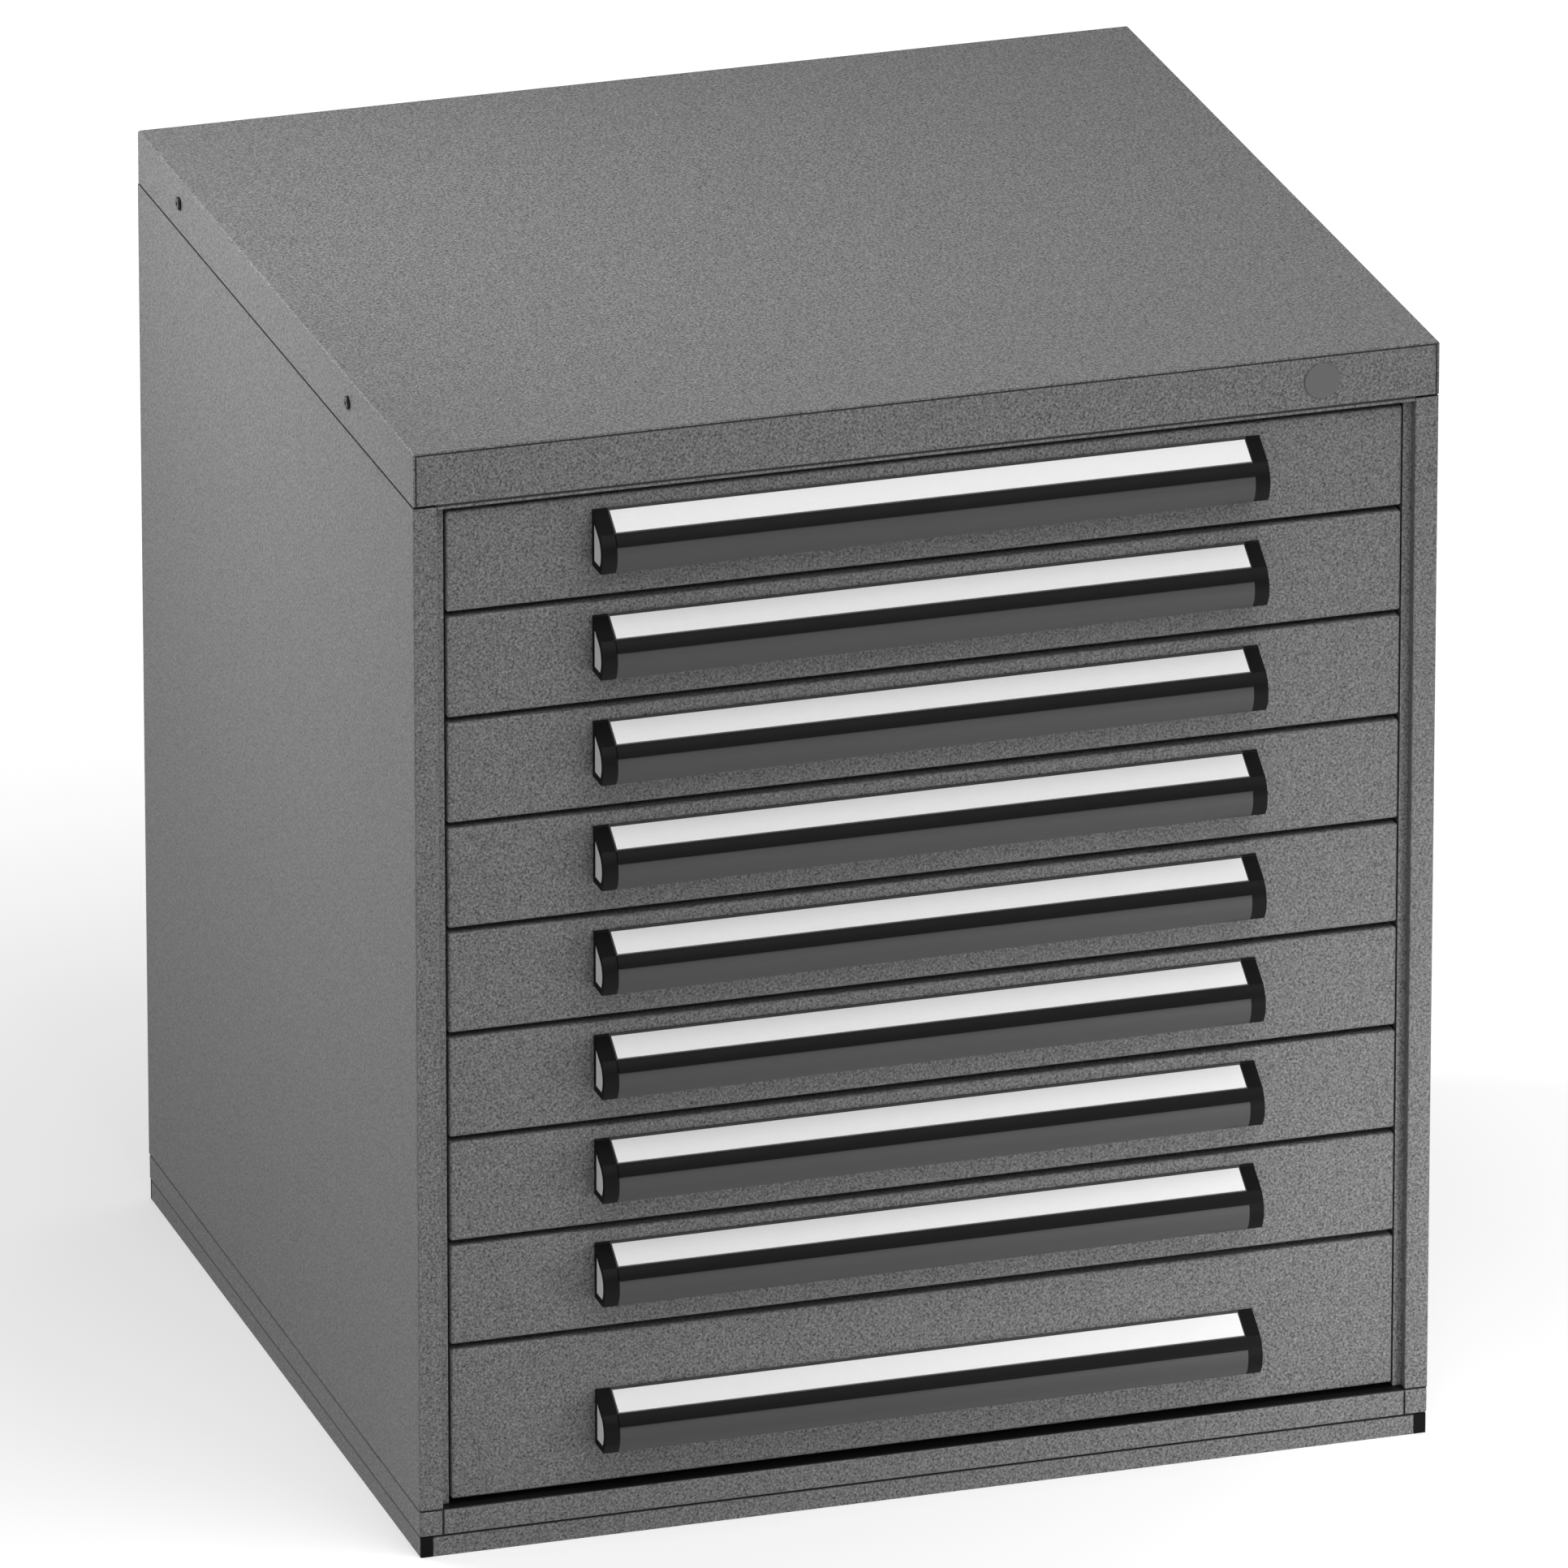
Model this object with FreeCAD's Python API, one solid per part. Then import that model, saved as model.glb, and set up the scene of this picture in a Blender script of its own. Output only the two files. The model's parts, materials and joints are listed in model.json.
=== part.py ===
import FreeCAD, Part
import math
import os

# A free-standing drawer cabinet of folded and welded sheet steel.
# Nine drawers run right out of a housing on roller carriages.
# Millimetres. +Z is up, the drawer fronts face -Y, and +X is to the right from the front.
# The origin is on the floor, under the middle of the whole outline with its handles.

# Housing, outside
cabinet_width = 762.0
cabinet_depth = 705.0
plinth_height = 15.5
base_rail_height = 20.5
cover_rim_height = 40.0
header_lip_drop = 4.0

# Drawer fronts, from the top down: all standard ones, then one tall one
drawer_count = 9
standard_front_height = 75.5
bottom_front_height = 115.5
drawer_gap = 4.5
drawer_travel = 600.0

# Sheet thicknesses and folds
shell_sheet = 1.5
post_sheet = 2.0
front_sheet = 1.5
tray_sheet = 1.2
rail_sheet = 2.0
carriage_sheet = 2.0
fold_radius = 2.0
seam = 0.3
rim_gap = 1.5

# Posts at the cabinet's corners
post_face_width = 17.5
post_jamb_depth = 8.0
front_post_depth = 48.0
rear_post_depth = 48.0

# Side, back and header panels
tongue_lap = 12.0
panel_flange = 15.0
header_flange = 22.0

# Base frame and plinth
base_flange = 15.0
weld_line_width = 1.0
weld_line_depth = 0.6
plinth_inset = 0.8
plinth_flange = 45.0
foot_width = 9.0
foot_cap = 2.0
foot_length = 30.0
anchor_hole_radius = 5.5
anchor_spacing_x = 600.0
anchor_edge = 25.0

# Screws through the cover's side rims
screw_head_radius = 5.0
screw_head_height = 2.2
screw_head_round = 1.2
screw_shank_radius = 2.4
screw_hole_radius = 2.7
screw_length = 9.0
screw_socket_radius = 1.7
screw_socket_depth = 1.2
screw_drop = 18.5
front_screw_setback = 161.0
rear_screw_setback = 111.0

# Plug in the round hole at the header's right end
plug_radius = 13.5
plug_cap = 1.2
plug_round = 0.8
plug_hole_radius = 9.5
plug_skirt_gap = 0.2
plug_skirt_length = 6.0
plug_from_side = 88.0
plug_drop = 20.3

# Drawer fronts in their opening
front_inset = 6.0
front_side_gap = 8.0
front_running_gap = 1.5
front_pan_depth = 20.0

# Drawer trays
tray_rear_gap = 75.0
tray_rise = 5.0
tray_drop = 6.0
tray_rim = 8.0
slot_width = 3.0
slot_height = 10.0
slot_pitch = 34.0
slot_drop = 5.0
slot_margin = 20.0

# Rails on the posts and on the trays, and the carriages between them
rail_height = 30.0
rail_depth = 12.5
rail_rise = 20.0
rail_front_gap = 3.0
rail_rear_gap = 2.0
carriage_gap = 1.0
carriage_height = 20.0
carriage_setback = 8.0
carriage_rear_gap = 102.5
roller_gap = 0.3
roller_width = 9.0
roller_chamfer = 1.0
roller_end_margin = 16.0
roller_hub_radius = 5.0
roller_hub_height = 1.0

# Handles
handle_length = 496.0
handle_height = 42.0
handle_depth = 26.0
handle_drop = 10.0
bottom_handle_drop = 43.5
handle_wall = 2.5
handle_back = 2.0
handle_top_step = 1.0
nose_radius = 21.0
nose_centre_height = 14.0
lip_angle = 45.5
strip_bottom_angle = 19.5
strip_thickness = 1.0
end_cap_width = 11.0
end_cap_border = 5.0
end_cap_recess = 0.8
label_thickness = 0.8
label_margin = 1.0

# Levels
front_heights = [standard_front_height] * (drawer_count - 1) + [bottom_front_height]
opening_height = sum(front_heights) + drawer_gap * (drawer_count + 1)
base_top = plinth_height + base_rail_height
header_bottom = base_top + opening_height
rim_bottom = header_bottom + header_lip_drop
cabinet_height = rim_bottom + cover_rim_height
cover_underside = cabinet_height - shell_sheet
panel_top = cover_underside - seam
panel_bottom = base_top + seam

# Half widths, from the outside in
half_width = cabinet_width / 2
panel_inner = half_width - shell_sheet
post_inner = half_width - post_face_width
front_half = post_inner - front_side_gap
web_x = front_half + front_running_gap
cabinet_rail_tip = web_x - rail_depth
carriage_outer = cabinet_rail_tip - carriage_gap
carriage_inner = carriage_outer - carriage_sheet
tray_rail_tip = carriage_inner - carriage_gap
tray_half = tray_rail_tip - rail_depth

# Depths, from the front back
front_y = -(cabinet_depth - (handle_depth - front_inset)) / 2
back_y = front_y + cabinet_depth
drawer_face_y = front_y + front_inset
pan_back_y = drawer_face_y + front_pan_depth
tray_back_y = back_y - tray_rear_gap
strip_y = front_y + post_jamb_depth
post_back_y = front_y + front_post_depth
rear_post_y = back_y - shell_sheet - rear_post_depth
rail_front_y = pan_back_y + rail_front_gap
rail_back_y = back_y - shell_sheet - post_sheet - rail_rear_gap
carriage_front_y = rail_front_y + carriage_setback
carriage_back_y = rail_back_y - carriage_rear_gap
roller_radius = rail_height / 2 - rail_sheet - roller_gap

# A carriage runs half as far as its drawer, and its rollers stay in both rails all the way
carriage_travel = drawer_travel / 2
cabinet_roller_places = [
    rail_front_y + carriage_travel + roller_end_margin,
    carriage_back_y - roller_end_margin]
tray_roller_places = [
    carriage_front_y + roller_end_margin,
    tray_back_y - carriage_travel - roller_end_margin]

# The handle's end view: u runs out from the drawer's face, v up from the handle's bottom
nose_centre_u = handle_depth - nose_radius
nose_inner_radius = nose_radius - handle_wall
lip_height = nose_centre_height + nose_radius * math.sin(math.radians(lip_angle))
strip_bottom_height = nose_centre_height + nose_radius * math.sin(math.radians(strip_bottom_angle))
bar_half = handle_length / 2 - end_cap_width


def block(x0, x1, y0, y1, z0, z1):
    return Part.makeBox(x1 - x0, y1 - y0, z1 - z0, FreeCAD.Vector(x0, y0, z0))


def joined(shapes):
    whole = shapes[0].fuse(shapes[1:])
    return whole.removeSplitter()


def mirrored(shape):
    return shape.mirror(FreeCAD.Vector(0, 0, 0), FreeCAD.Vector(1, 0, 0))


def rounded(shape, radius, wanted):
    """Rounds the straight edges for which wanted(middle, direction) is true."""
    edges = []
    for edge in shape.Edges:
        if len(edge.Vertexes) < 2:
            continue
        start = edge.Vertexes[0].Point
        end = edge.Vertexes[-1].Point
        if wanted((start + end) * 0.5, (end - start).normalize()):
            edges.append(edge)
    return shape.makeFillet(radius, edges)


def save(node, shapes):
    solids = [solid for shape in shapes for solid in shape.Solids]
    Part.makeCompound(solids).exportStep("parts/" + node + ".step")
    print(node, len(solids))


def same(a, b):
    return abs(a - b) < 0.01


# Housing

def side_screw_places():
    return [front_y + front_screw_setback, back_y - rear_screw_setback]


def side_screw_cut(hole_radius):
    """Holes through both side rims and the panels' tongues behind them."""
    cuts = []
    for y in side_screw_places():
        start = FreeCAD.Vector(-cabinet_width, y, cabinet_height - screw_drop)
        cuts.append(Part.makeCylinder(hole_radius, 2 * cabinet_width, start, FreeCAD.Vector(1, 0, 0)))
    return Part.makeCompound(cuts)


def top_cover():
    outer = block(-half_width, half_width, front_y, back_y, rim_bottom, cabinet_height)
    outer = rounded(
        outer, fold_radius,
        lambda middle, way: same(middle.z, cabinet_height) and not same(middle.y, front_y)
        or same(abs(way.z), 1) and same(middle.y, back_y))
    inside = block(-panel_inner, panel_inner, front_y - 1, back_y - shell_sheet,
                   rim_bottom - 1, cover_underside)
    return outer.cut(inside).cut(side_screw_cut(screw_hole_radius))


def side_panel():
    """The right side panel: its top edge is set in, as a tongue behind the cover's rim."""
    tongue_front = post_back_y + seam
    tongue_back = rear_post_y - seam
    sheet = block(panel_inner, half_width, front_y + post_sheet + seam, back_y,
                  panel_bottom, rim_bottom - rim_gap)
    tongue = block(panel_inner - shell_sheet, panel_inner, tongue_front, tongue_back,
                   rim_bottom - tongue_lap, panel_top)
    foot = block(panel_inner - panel_flange, panel_inner, tongue_front, tongue_back,
                 panel_bottom, panel_bottom + shell_sheet)
    return joined([sheet, tongue, foot]).cut(side_screw_cut(screw_hole_radius))


def back_panel():
    side = panel_inner - seam
    tongue_side = web_x - seam
    sheet = block(-side, side, back_y - shell_sheet, back_y, panel_bottom, rim_bottom - rim_gap)
    tongue = block(-tongue_side, tongue_side, back_y - 2 * shell_sheet, back_y - shell_sheet,
                   rim_bottom - tongue_lap, panel_top)
    foot = block(-tongue_side, tongue_side, back_y - shell_sheet - panel_flange, back_y - shell_sheet,
                 panel_bottom, panel_bottom + shell_sheet)
    return joined([sheet, tongue, foot])


def plug_centre():
    return FreeCAD.Vector(half_width - plug_from_side, front_y, cabinet_height - plug_drop)


def front_header():
    side = panel_inner - seam
    lip_side = post_inner - seam
    flange_side = web_x - seam
    face_back = front_y + post_sheet
    flange_back = front_y + header_flange
    face = block(-side, side, front_y, face_back, rim_bottom, panel_top)
    lip = block(-lip_side, lip_side, front_y, face_back, header_bottom, rim_bottom)
    low_flange = block(-flange_side, flange_side, front_y, flange_back,
                       header_bottom, header_bottom + post_sheet)
    top_flange = block(-flange_side, flange_side, front_y, flange_back,
                       panel_top - post_sheet, panel_top)
    header = joined([face, lip, low_flange, top_flange])
    inwards = FreeCAD.Vector(0, 1, 0)
    hole_start = plug_centre() - inwards * post_sheet
    hole = Part.makeCylinder(plug_hole_radius, 3 * post_sheet, hole_start, inwards)
    header = header.cut(hole)
    return rounded(
        header, fold_radius / 2,
        lambda middle, way: same(middle.y, front_y) and same(middle.z, header_bottom))


def lock_hole_plug():
    """A blank snap-in plug: a thin domed cap in front of the header and a skirt through its hole."""
    outwards = FreeCAD.Vector(0, -1, 0)
    centre = plug_centre()
    cap = Part.makeCylinder(plug_radius, plug_cap, centre, outwards)
    crown = [edge for edge in cap.Edges
             if len(edge.Vertexes) == 1 and same(edge.CenterOfMass.y, front_y - plug_cap)]
    cap = cap.makeFillet(plug_round, crown)
    skirt = Part.makeCylinder(plug_hole_radius - plug_skirt_gap, plug_skirt_length, centre, outwards * -1)
    return joined([cap, skirt])


def front_post():
    """The right front post: a closed channel whose front steps back beside the drawers."""
    outer = panel_inner
    low = panel_bottom
    face_top = rim_bottom - rim_gap
    face = block(post_inner, half_width, front_y, front_y + post_sheet, low, face_top)
    jamb = block(post_inner, post_inner + post_sheet, front_y, strip_y + post_sheet, low, face_top)
    corner = block(outer - post_sheet, outer, front_y, strip_y, low, face_top)
    strip = block(web_x, post_inner + post_sheet, strip_y, strip_y + post_sheet, low, panel_top)
    web = block(web_x, web_x + post_sheet, strip_y, post_back_y, low, panel_top)
    rear = block(web_x, outer, post_back_y - post_sheet, post_back_y, low, panel_top)
    flange = block(outer - post_sheet, outer, strip_y, post_back_y, low, panel_top)
    post = joined([face, jamb, corner, strip, web, rear, flange])
    return rounded(
        post, fold_radius / 2,
        lambda middle, way: same(abs(way.z), 1) and same(middle.y, front_y))


def rear_post():
    """The right rear post: a channel in the corner of the side and back panels."""
    outer = panel_inner
    back = back_y - shell_sheet
    web = block(web_x, web_x + post_sheet, rear_post_y, back, panel_bottom, panel_top)
    rear = block(web_x, outer, back - post_sheet, back, panel_bottom, panel_top)
    flange = block(outer - post_sheet, outer, rear_post_y, back, panel_bottom, panel_top)
    return joined([web, rear, flange])


def base_frame():
    """The cabinet's floor with its edges folded down into rails, which turn in at the bottom."""
    low = plinth_height + seam
    outer = block(-half_width, half_width, front_y, back_y, low, base_top)
    outer = rounded(outer, fold_radius, lambda middle, way: True)
    room = block(-half_width + post_sheet, half_width - post_sheet,
                 front_y + post_sheet, back_y - post_sheet,
                 low + post_sheet, base_top - post_sheet)
    reach = post_sheet + base_flange
    mouth = block(-half_width + reach, half_width - reach, front_y + reach, back_y - reach,
                  low - 1, low + 2 * post_sheet)
    frame = outer.cut(room).cut(mouth)
    lines = []
    for side in (-1, 1):
        middle = side * post_inner
        lines.append(block(middle - weld_line_width / 2, middle + weld_line_width / 2,
                           front_y - 1, front_y + weld_line_depth, low - 1, base_top - post_sheet))
    return frame.cut(Part.makeCompound(lines))


def at_corners(shape):
    """Four copies of a shape at the plinth's front right corner, one at each corner."""
    middle = FreeCAD.Vector(0, (front_y + back_y) / 2, 0)
    rear = shape.mirror(middle, FreeCAD.Vector(0, 1, 0))
    return [shape, mirrored(shape), rear, mirrored(rear)]


def corner_foot(gap):
    """The front right foot: a cap over the plinth's corner and a plug behind it."""
    side = half_width - plinth_inset
    front = front_y + plinth_inset
    inner = side - foot_width - gap
    wall = side - post_sheet - seam + gap
    cap = block(inner, side, front, front + foot_cap + gap, 0, plinth_height)
    plug = block(inner, wall, front, front + foot_length + gap, 0, plinth_height)
    return joined([cap, plug])


def anchor_holes():
    cuts = []
    for y in (front_y + anchor_edge, back_y - anchor_edge):
        for x in (-anchor_spacing_x / 2, anchor_spacing_x / 2):
            start = FreeCAD.Vector(x, y, -post_sheet)
            cuts.append(Part.makeCylinder(anchor_hole_radius, 3 * post_sheet, start))
    return Part.makeCompound(cuts)


def plinth():
    """A low ring under the base frame, with an inward flange on the floor for anchor bolts."""
    side = half_width - plinth_inset
    front = front_y + plinth_inset
    back = back_y - plinth_inset
    outer = block(-side, side, front, back, 0, plinth_height)
    room = block(-side + post_sheet, side - post_sheet, front + post_sheet, back - post_sheet,
                 post_sheet, plinth_height + 1)
    mouth = block(-side + plinth_flange, side - plinth_flange,
                  front + plinth_flange, back - plinth_flange, -1, plinth_height)
    ring = outer.cut(room).cut(mouth).cut(anchor_holes())
    return ring.cut(Part.makeCompound(at_corners(corner_foot(seam))))


def top_cover_screw(y):
    """A button-head screw in the right side rim."""
    centre = FreeCAD.Vector(half_width, y, cabinet_height - screw_drop)
    outwards = FreeCAD.Vector(1, 0, 0)
    head = Part.makeCylinder(screw_head_radius, screw_head_height, centre, outwards)
    crown = [edge for edge in head.Edges
             if len(edge.Vertexes) == 1 and same(edge.CenterOfMass.x, half_width + screw_head_height)]
    head = head.makeFillet(screw_head_round, crown)
    shank = Part.makeCylinder(screw_shank_radius, screw_length, centre, outwards * -1)
    corners = []
    for turn in range(7):
        angle = math.radians(60 * turn)
        corners.append(FreeCAD.Vector(half_width + screw_head_height,
                                      y + screw_socket_radius * math.cos(angle),
                                      centre.z + screw_socket_radius * math.sin(angle)))
    socket = Part.Face(Part.makePolygon(corners)).extrude(outwards * -screw_socket_depth)
    return joined([head, shank]).cut(socket)


# Suspension

def channel(x_back, x_tip, y0, y1, z0):
    """A rail of channel section, with its back at x_back and its open side at x_tip."""
    z1 = z0 + rail_height
    sheet = sorted([x_back, x_back + math.copysign(rail_sheet, x_tip - x_back)])
    reach = sorted([x_back, x_tip])
    back = block(sheet[0], sheet[1], y0, y1, z0, z1)
    low = block(reach[0], reach[1], y0, y1, z0, z0 + rail_sheet)
    top = block(reach[0], reach[1], y0, y1, z1 - rail_sheet, z1)
    return joined([back, low, top])


def cabinet_rail(rail_z):
    return channel(web_x, cabinet_rail_tip, rail_front_y, rail_back_y, rail_z)


def roller(x, y, z, way):
    """A roller with its hub, which stands on the carriage's plate at x and reaches along way."""
    axis = FreeCAD.Vector(way, 0, 0)
    root = FreeCAD.Vector(x, y, z)
    wheel = Part.makeCylinder(roller_radius, roller_width - roller_hub_height,
                              root + axis * roller_hub_height, axis)
    rims = [edge for edge in wheel.Edges if len(edge.Vertexes) == 1]
    wheel = wheel.makeChamfer(roller_chamfer, rims)
    hub = Part.makeCylinder(roller_hub_radius, roller_width + roller_hub_height, root, axis)
    return joined([wheel, hub])


def carriage_side(rail_z):
    """The right plate of a carriage, with two rollers in the cabinet's rail and two in the tray's."""
    middle_z = rail_z + rail_height / 2
    plate = block(carriage_inner, carriage_outer, carriage_front_y, carriage_back_y,
                  middle_z - carriage_height / 2, middle_z + carriage_height / 2)
    outside = [roller(carriage_outer, y, middle_z, 1) for y in cabinet_roller_places]
    inside = [roller(carriage_inner, y, middle_z, -1) for y in tray_roller_places]
    return [plate] + outside + inside


# Drawers

def evenly(start, end):
    """Places at the slot pitch, centred between start and end."""
    count = int((end - start - 2 * slot_margin) / slot_pitch) + 1
    first = (start + end - (count - 1) * slot_pitch) / 2
    return [first + slot_pitch * turn for turn in range(count)]


def tray_slots(tray_top):
    """A row of upright slots for dividers, round the top of a tray's four walls."""
    z1 = tray_top - slot_drop
    z0 = z1 - slot_height
    reach = 2 * tray_sheet
    cuts = []
    for y in evenly(pan_back_y, tray_back_y):
        for wall in (-tray_half, tray_half):
            cuts.append(block(wall - reach, wall + reach, y - slot_width / 2, y + slot_width / 2, z0, z1))
    for x in evenly(-tray_half, tray_half):
        for wall in (pan_back_y, tray_back_y):
            cuts.append(block(x - slot_width / 2, x + slot_width / 2, wall - reach, wall + reach, z0, z1))
    return Part.makeCompound(cuts)


def drawer_box(bottom, front_height):
    """A tray with its front pan, its rims and its two rails, welded into one."""
    top = bottom + front_height
    tray_low = bottom + tray_rise
    tray_top = top - tray_drop
    rim_low = tray_top - tray_sheet
    rail_z = bottom + rail_rise
    wide = tray_half + tray_rim
    front = block(-front_half, front_half, drawer_face_y, pan_back_y, bottom, top)
    front = rounded(
        front, fold_radius,
        lambda middle, way: same(middle.y, drawer_face_y) or same(abs(way.y), 1))
    front = front.cut(block(-front_half + front_sheet, front_half - front_sheet,
                            drawer_face_y + front_sheet, pan_back_y + 1,
                            bottom + front_sheet, top - front_sheet))
    pieces = [
        front,
        block(-tray_half, tray_half, pan_back_y - tray_sheet, pan_back_y, bottom, top),
        block(-tray_half, tray_half, pan_back_y, tray_back_y, tray_low, tray_low + tray_sheet),
        block(-tray_half, tray_half, tray_back_y - tray_sheet, tray_back_y, tray_low, tray_top),
        block(-wide, wide, tray_back_y, tray_back_y + tray_rim, rim_low, tray_top)]
    for side in (-1, 1):
        outer = side * tray_half
        wall = sorted([outer, side * (tray_half - tray_sheet)])
        rim = sorted([outer, side * wide])
        pieces.append(block(wall[0], wall[1], pan_back_y, tray_back_y, tray_low, tray_top))
        pieces.append(block(rim[0], rim[1], pan_back_y, tray_back_y, rim_low, tray_top))
        pieces.append(channel(outer, side * tray_rail_tip, pan_back_y, tray_back_y, rail_z))
    return joined(pieces).cut(tray_slots(tray_top))


# Handles

def nose_u(height, radius):
    return nose_centre_u + math.sqrt(radius ** 2 - (height - nose_centre_height) ** 2)


def nose_point(angle, radius):
    return (nose_centre_u + radius * math.cos(angle), nose_centre_height + radius * math.sin(angle))


def nose_arc(start_height, end_height, radius):
    """An arc of the handle's nose from one height to another."""
    start = math.asin((start_height - nose_centre_height) / radius)
    end = math.asin((end_height - nose_centre_height) / radius)
    return [nose_point(start, radius), nose_point((start + end) / 2, radius), nose_point(end, radius)]


def profile_face(runs, x, handle_bottom):
    """A flat face from runs of points: two points make a line, three an arc."""
    edges = []
    for run in runs:
        points = [FreeCAD.Vector(x, drawer_face_y - u, handle_bottom + v) for u, v in run]
        if len(points) == 2:
            edges.append(Part.LineSegment(points[0], points[1]).toShape())
        else:
            edges.append(Part.Arc(points[0], points[1], points[2]).toShape())
    return Part.Face(Part.Wire(edges))


def slope_start():
    return (handle_back, handle_height - handle_top_step)


def slope_end():
    return (nose_u(lip_height, nose_radius), lip_height)


def slope_ways():
    """The unit vectors down the label's slope and square out of it."""
    du = slope_end()[0] - slope_start()[0]
    dv = slope_end()[1] - slope_start()[1]
    length = math.hypot(du, dv)
    return (du / length, dv / length), (-dv / length, du / length), length


def handle_bar(handle_bottom):
    """An open extrusion: a back plate, a sloping label seat and a nose to pull from behind."""
    down = slope_ways()[0]
    inner_start_v = slope_start()[1] - handle_wall / down[0]
    inner_end_v = lip_height - handle_wall
    inner_end = (nose_u(inner_end_v, nose_inner_radius), inner_end_v)
    outer_arc = nose_arc(lip_height, 0, nose_radius)
    inner_arc = nose_arc(0, inner_end_v, nose_inner_radius)
    runs = [
        [(0, 0), (0, handle_height)],
        [(0, handle_height), (handle_back, handle_height)],
        [(handle_back, handle_height), slope_start()],
        [slope_start(), slope_end()],
        outer_arc,
        [outer_arc[2], inner_arc[0]],
        inner_arc,
        [inner_end, (handle_back, inner_start_v)],
        [(handle_back, inner_start_v), (handle_back, 0)],
        [(handle_back, 0), (0, 0)]]
    return profile_face(runs, -bar_half, handle_bottom).extrude(FreeCAD.Vector(2 * bar_half, 0, 0))


def handle_label(handle_bottom):
    """A card on the handle's slope, as long as the bar between its end caps."""
    down, out, length = slope_ways()
    start = slope_start()
    near = (start[0] + down[0] * label_margin, start[1] + down[1] * label_margin)
    reach = length - 2 * label_margin
    far = (near[0] + down[0] * reach, near[1] + down[1] * reach)
    far_out = (far[0] + out[0] * label_thickness, far[1] + out[1] * label_thickness)
    near_out = (near[0] + out[0] * label_thickness, near[1] + out[1] * label_thickness)
    corners = [near, far, far_out, near_out, near]
    runs = [[corners[turn], corners[turn + 1]] for turn in range(4)]
    half = bar_half - label_margin
    return profile_face(runs, -half, handle_bottom).extrude(FreeCAD.Vector(2 * half, 0, 0))


def handle_strip(handle_bottom):
    """The strip that holds the label's lower edge, round the top of the nose."""
    outer_radius = nose_radius + strip_thickness
    inner = nose_arc(strip_bottom_height, lip_height, nose_radius)
    outer = nose_arc(lip_height, strip_bottom_height, outer_radius)
    runs = [inner, [inner[2], outer[0]], outer, [outer[2], inner[0]]]
    return profile_face(runs, -bar_half, handle_bottom).extrude(FreeCAD.Vector(2 * bar_half, 0, 0))


def end_cap(handle_bottom):
    """The right end cap: the handle's outline, closed, with a shallow field in its outer face."""
    outer_arc = nose_arc(lip_height, 0, nose_radius)
    runs = [
        [(0, 0), (0, handle_height)],
        [(0, handle_height), (handle_back, handle_height)],
        [(handle_back, handle_height), slope_start()],
        [slope_start(), slope_end()],
        outer_arc,
        [outer_arc[2], (0, 0)]]
    face = profile_face(runs, bar_half, handle_bottom)
    cap = face.extrude(FreeCAD.Vector(end_cap_width, 0, 0))
    field = Part.Face(face.OuterWire.makeOffset2D(-end_cap_border))
    field.translate(FreeCAD.Vector(end_cap_width - end_cap_recess, 0, 0))
    return cap.cut(field.extrude(FreeCAD.Vector(2 * end_cap_recess, 0, 0)))


os.makedirs("parts", exist_ok=True)

save("top_cover", [top_cover()])
save("right_side_panel", [side_panel()])
save("left_side_panel", [mirrored(side_panel())])
save("back_panel", [back_panel()])
save("front_header", [front_header()])
save("lock_hole_plug", [lock_hole_plug()])
save("right_front_post", [front_post()])
save("left_front_post", [mirrored(front_post())])
save("rear_posts", [rear_post(), mirrored(rear_post())])
save("base_frame", [base_frame()])
save("plinth", [plinth()])
save("corner_feet", at_corners(corner_foot(0)))

screws = [top_cover_screw(y) for y in side_screw_places()]
save("top_cover_screws", screws + [mirrored(screw) for screw in screws])

right_rails = []
drawer_top = header_bottom - drawer_gap
for number, front_height in enumerate(front_heights, start=1):
    drawer_bottom = drawer_top - front_height
    rail_z = drawer_bottom + rail_rise
    drop = bottom_handle_drop if number == drawer_count else handle_drop
    handle_bottom = drawer_top - drop - handle_height
    name = "drawer_" + str(number) + "_"
    cap = end_cap(handle_bottom)
    side = carriage_side(rail_z)
    save(name + "box", [drawer_box(drawer_bottom, front_height)])
    save(name + "handle", [handle_bar(handle_bottom)])
    save(name + "handle_trim", [cap, mirrored(cap), handle_strip(handle_bottom)])
    save(name + "label", [handle_label(handle_bottom)])
    save(name + "carriage", side + [mirrored(piece) for piece in side])
    right_rails.append(cabinet_rail(rail_z))
    drawer_top = drawer_bottom - drawer_gap

save("right_cabinet_rails", right_rails)
save("left_cabinet_rails", [mirrored(rail) for rail in right_rails])
print("height", round(cabinet_height, 1))
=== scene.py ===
import json
import math

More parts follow.
